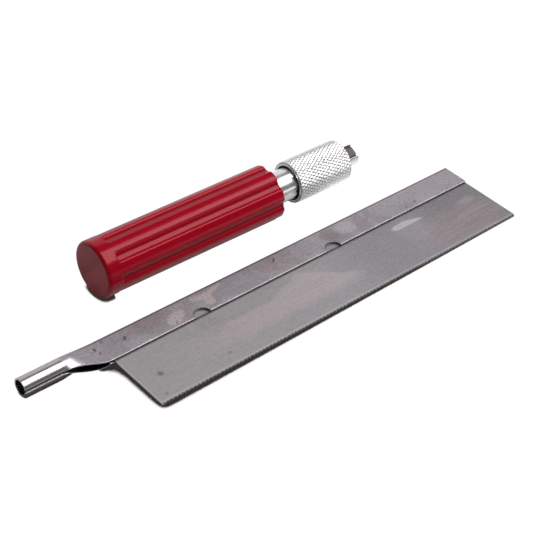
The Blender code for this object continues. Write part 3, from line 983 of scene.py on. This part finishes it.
def spine_steel(axes):
    """Purplish mottled sheet: pale scars, rust specks, painted shade round the notches and along the
    back, a polished tang.
    """
    finish = Finish("spine_steel", Metallic=1.0)
    place = finish.place(axes)
    u, v, _ = finish.split(place)
    cloud = finish.noise(place, 0.16, 5, 0.62, 0.6)
    mottle = finish.noise(place, 1.3, 5, 0.75)
    wander = finish.noise(place, 0.5, 4, 0.6)
    grain = finish.noise(finish.stretch(place, (0.25, 2.5, 1.0)), 1.0, 4, 0.7)
    along = u + (wander - 0.5) * 4
    up = v + (mottle - 0.5) * 1.2 + (cloud - 0.5) * 2.5

    colour = finish.mix(finish.step(cloud, 0.42, 0.62), *SPINE_PURPLE)
    colour = finish.stain(colour, along, up, SPINE_STAINS)
    for middle, reach, slant in SPINE_SCARS:
        scar = finish.patch(along, up, middle, reach, 0.12, slant)
        colour = finish.mix(scar * 0.9, colour, SPINE_SCAR)
    dark_specks, light_specks = SPINE_SPECKS
    colour = finish.mix(finish.step(grain, 0.4, 0.75) * 0.25, colour, SPINE_GRAIN)
    colour = finish.mix(finish.step(mottle, 0.5, 0.64) * 0.5, colour, dark_specks)
    colour = finish.mix(finish.step(mottle, 0.48, 0.33) * 0.42, colour, light_specks)
    colour = finish.stain(colour, u, v, SPINE_RUST, RUST_SLANT)

    back = finish.step(v, BACK_LINE - 1.05, BACK_LINE - 0.7) * finish.step(u, -12, -6, 0.5, 1)
    colour = finish.mix(back * 0.8, colour, BACK_SHADE)
    hem = finish.step(u, -4, 0) * finish.step(v, FLAP_EDGE + 0.1, FLAP_EDGE + 0.35, 1, 0)
    colour = finish.mix(hem * 0.3, colour, FLAP_SHINE)
    rim = NOTCH_RADIUS + 0.18
    for middle in NOTCH_CENTRES:
        notch = finish.patch(u, v, (middle, FLAP_EDGE), (rim, rim), 0.08)
        colour = finish.mix(notch * 0.8, colour, NOTCH_SHADE)
    tube = finish.step(u, SPREAD_START, SPREAD_START + 2, 1, 0)
    colour = finish.mix(tube * 0.8, colour, POLISHED_TUBE)
    finish.set("Base Color", mouth_and_seam(finish, place, colour, tube))
    finish.set("Roughness", 0.33 + mottle * (1 - tube) * 0.12 - tube * 0.08)
    finish.set("Normal", finish.bump(mottle * (1 - tube), 0.005, 0.4))
    return finish.material


# ---------------------------------------------------------------- studio


def add_camera():
    """A long lens that looks down at the pieces from the handle's butt, rolled a little."""
    azimuth, elevation = CAMERA_AZIMUTH, CAMERA_ELEVATION
    level = math.cos(elevation)
    back = Vector((math.sin(azimuth) * level, -math.cos(azimuth) * level, math.sin(elevation)))
    data = bpy.data.cameras.new("camera")
    data.lens = CAMERA_LENS
    data.sensor_width = 36.0
    data.clip_start = 0.01
    data.clip_end = 20.0
    camera = bpy.data.objects.new("camera", data)
    camera.location = Vector(CAMERA_TARGET) + back * CAMERA_DISTANCE
    camera.rotation_mode = "QUATERNION"
    upright = (-back).to_track_quat("-Z", "Y")
    camera.rotation_quaternion = upright @ Quaternion((0, 0, 1), CAMERA_ROLL)
    bpy.context.scene.collection.objects.link(camera)
    bpy.context.scene.camera = camera


def add_softbox(name, middle, target, size, brightness, tint):
    """A rectangular lamp at a place, facing another. Its power is pi x area x brightness."""
    data = bpy.data.lights.new(name, "AREA")
    data.shape = "RECTANGLE"
    data.size, data.size_y = size
    data.energy = math.pi * size[0] * size[1] * brightness
    data.color = tint
    lamp = bpy.data.objects.new(name, data)
    lamp.location = middle
    facing = Vector(target) - Vector(middle)
    lamp.rotation_euler = facing.to_track_quat("-Z", "Y").to_euler()
    bpy.context.scene.collection.objects.link(lamp)


def seen_or_lit(finish, seen, lit):
    """One colour where the camera looks straight at it, another in what it reflects and lights."""
    direct = finish.node("ShaderNodeLightPath", output="Is Camera Ray")
    return finish.mix(direct, lit, seen)


def add_floor():
    """A pale floor that looks white and is dark only in the narrow gap under an edge.

    How far away an edge still darkens it depends on the place: most beside the plate, some at the
    handle's butt, and least along the rest of the handle and the tang.
    """
    finish = Finish("pale_floor", Roughness=0.9, Specular_IOR_Level=0.1, Emission_Strength=1.0)
    across, depth, _ = finish.split(finish.node("ShaderNodeTexCoord", output="Object"))
    bounce = finish.mix(finish.step(depth, *BOUNCE_DEPTHS), FLOOR_DIM, FLOOR_BOUNCE)
    bounce = finish.mix(finish.step(across, *GLOW_STRETCH), bounce, FLOOR_GLOW)
    finish.set("Base Color", seen_or_lit(finish, BLACK, bounce))

    handle = finish.step(across, *BUTT_TO_GRIP, BUTT_SHADOW, HANDLE_SHADOW)
    blade = finish.step(across, *TANG_TO_HEEL, TANG_SHADOW, PLATE_SHADOW)
    reach = blade + finish.step(depth, *BLADE_TO_HANDLE) * (handle - blade)
    openness = finish.node("ShaderNodeAmbientOcclusion", {"samples": 16}, {"Distance": reach}, 1)
    white = finish.mix(finish.step(openness, *CONTACT_OPENNESS), CONTACT_SHADOW, WHITE)
    finish.set("Emission Color", seen_or_lit(finish, white, BLACK))
    mesh = bpy.data.meshes.new("floor")
    side, under = 3.0, -0.00002
    corners = [(-side, -side, under), (side, -side, under), (side, side, under), (-side, side, under)]
    mesh.from_pydata(corners, [], [(0, 1, 2, 3)])
    mesh.materials.append(finish.material)
    floor = bpy.data.objects.new("floor", mesh)
    bpy.context.scene.collection.objects.link(floor)


def add_world():
    """White behind everything, and a dim room in what the pieces reflect."""
    world = bpy.data.worlds.new("studio")
    world.use_nodes = True
    tree = world.node_tree
    background = tree.nodes["Background"]
    background.inputs["Strength"].default_value = 1.0
    path = tree.nodes.new("ShaderNodeLightPath")
    mix = tree.nodes.new("ShaderNodeMix")
    mix.data_type = "RGBA"
    mix.inputs[6].default_value = (*ROOM_LIGHT, 1.0)
    mix.inputs[7].default_value = (1.0, 1.0, 1.0, 1.0)
    tree.links.new(path.outputs["Is Camera Ray"], mix.inputs[0])
    tree.links.new(mix.outputs[2], background.inputs["Color"])
    bpy.context.scene.world = world


def add_studio():
    """Floor, room and lamps, with colours shown as they are."""
    add_floor()
    add_world()
    for softbox in SOFTBOXES:
        add_softbox(*softbox)
    bpy.context.scene.view_settings.view_transform = "Standard"


# ---------------------------------------------------------------- assembly


def add_handle(axes):
    """The grip, and the chuck's shaft, sleeve, ring and jaws."""
    aluminium = turned_aluminium(axes)
    low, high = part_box("grip")
    points = grip_points((high.x - low.x) / MM)
    rows, columns = points.shape[:2]
    faces = [ring_faces(rows, columns), end_caps(rows, columns)]
    finish = red_plastic(axes)
    add_piece("fluted_grip", axes.place(points), faces, finish, "handle", "grip", "grip_plastic")

    points = shaft_points()
    rows, columns = points.shape[:2]
    faces = [ring_faces(rows, columns), end_caps(rows, columns)]
    shaft = ("handle", "chuck_shaft", "shaft_aluminium")
    add_piece("threaded_shaft", axes.place(points), faces, aluminium, *shaft)

    low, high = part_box("chuck_sleeve")
    rear, front = ((x - axes.start[0]) / MM for x in (low.x, high.x))
    radius = (high.z - low.z) / 2 / MM
    points = sleeve_points(rear, front, radius)
    faces = [staggered_faces(*points.shape[:2])]
    finish = knurled_aluminium(axes, radius)
    sleeve = ("sleeve", "chuck_sleeve", "sleeve_aluminium")
    add_piece("knurled_sleeve", axes.place(points), faces, finish, *sleeve)

    pale = collet_aluminium(axes, "pale_collet_aluminium", PALE_JAW)
    # The jaws with flats get the copy with painted shade outside.
    dark = collet_aluminium(axes, "shaded_collet_aluminium", SHADED_JAW)
    points = ring_points()
    faces = [ring_faces(*points.shape[:2], closed=True)]
    ring = ("collet", "collet_ring", "collet_aluminium")
    add_piece("turned_ring", axes.place(points), faces, pale, *ring)

    for number in (1, 2, 3, 4):
        points = jaw_points(number)
        rows, columns = points.shape[:2]
        faces = [ring_faces(rows, columns), end_strips(rows, columns)]
        jaw = (f"jaw_{number}", f"collet_jaw_{number}", "collet_aluminium")
        finish = dark if number % 2 else pale
        piece = add_piece(f"spring_jaw_{number}", axes.place(points), faces, finish, *jaw)
        round_edges(piece, 0.05)


def add_blade(plate_node):
    """The toothed plate and its folded spine."""
    axes, size = blade_axes(plate_node)
    points = plate_points(size)
    rows, columns = points.shape[:2]
    faces = [ring_faces(rows, columns), end_caps(rows, columns)]
    plate = ("blade", "saw_plate", "plate_steel")
    add_piece("toothed_plate", axes.place(points), faces, saw_steel(axes), *plate, smooth=4)

    points = spine_points(size[0], size[2])
    rows, columns = points.shape[:2]
    faces = [ring_faces(rows, columns), end_strips(rows, columns)]
    spine = ("blade", "blade_spine", "spine_steel")
    add_piece("folded_spine", axes.place(points), faces, spine_steel(axes), *spine)


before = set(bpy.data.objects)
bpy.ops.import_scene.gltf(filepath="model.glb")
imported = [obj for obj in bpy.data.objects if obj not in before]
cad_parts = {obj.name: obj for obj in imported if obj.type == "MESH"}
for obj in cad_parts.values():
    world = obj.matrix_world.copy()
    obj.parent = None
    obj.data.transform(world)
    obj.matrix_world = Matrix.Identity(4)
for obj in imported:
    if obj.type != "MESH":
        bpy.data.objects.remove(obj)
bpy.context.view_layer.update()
add_camera()
add_studio()
add_handle(handle_axes())
add_blade(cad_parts["saw_plate"])
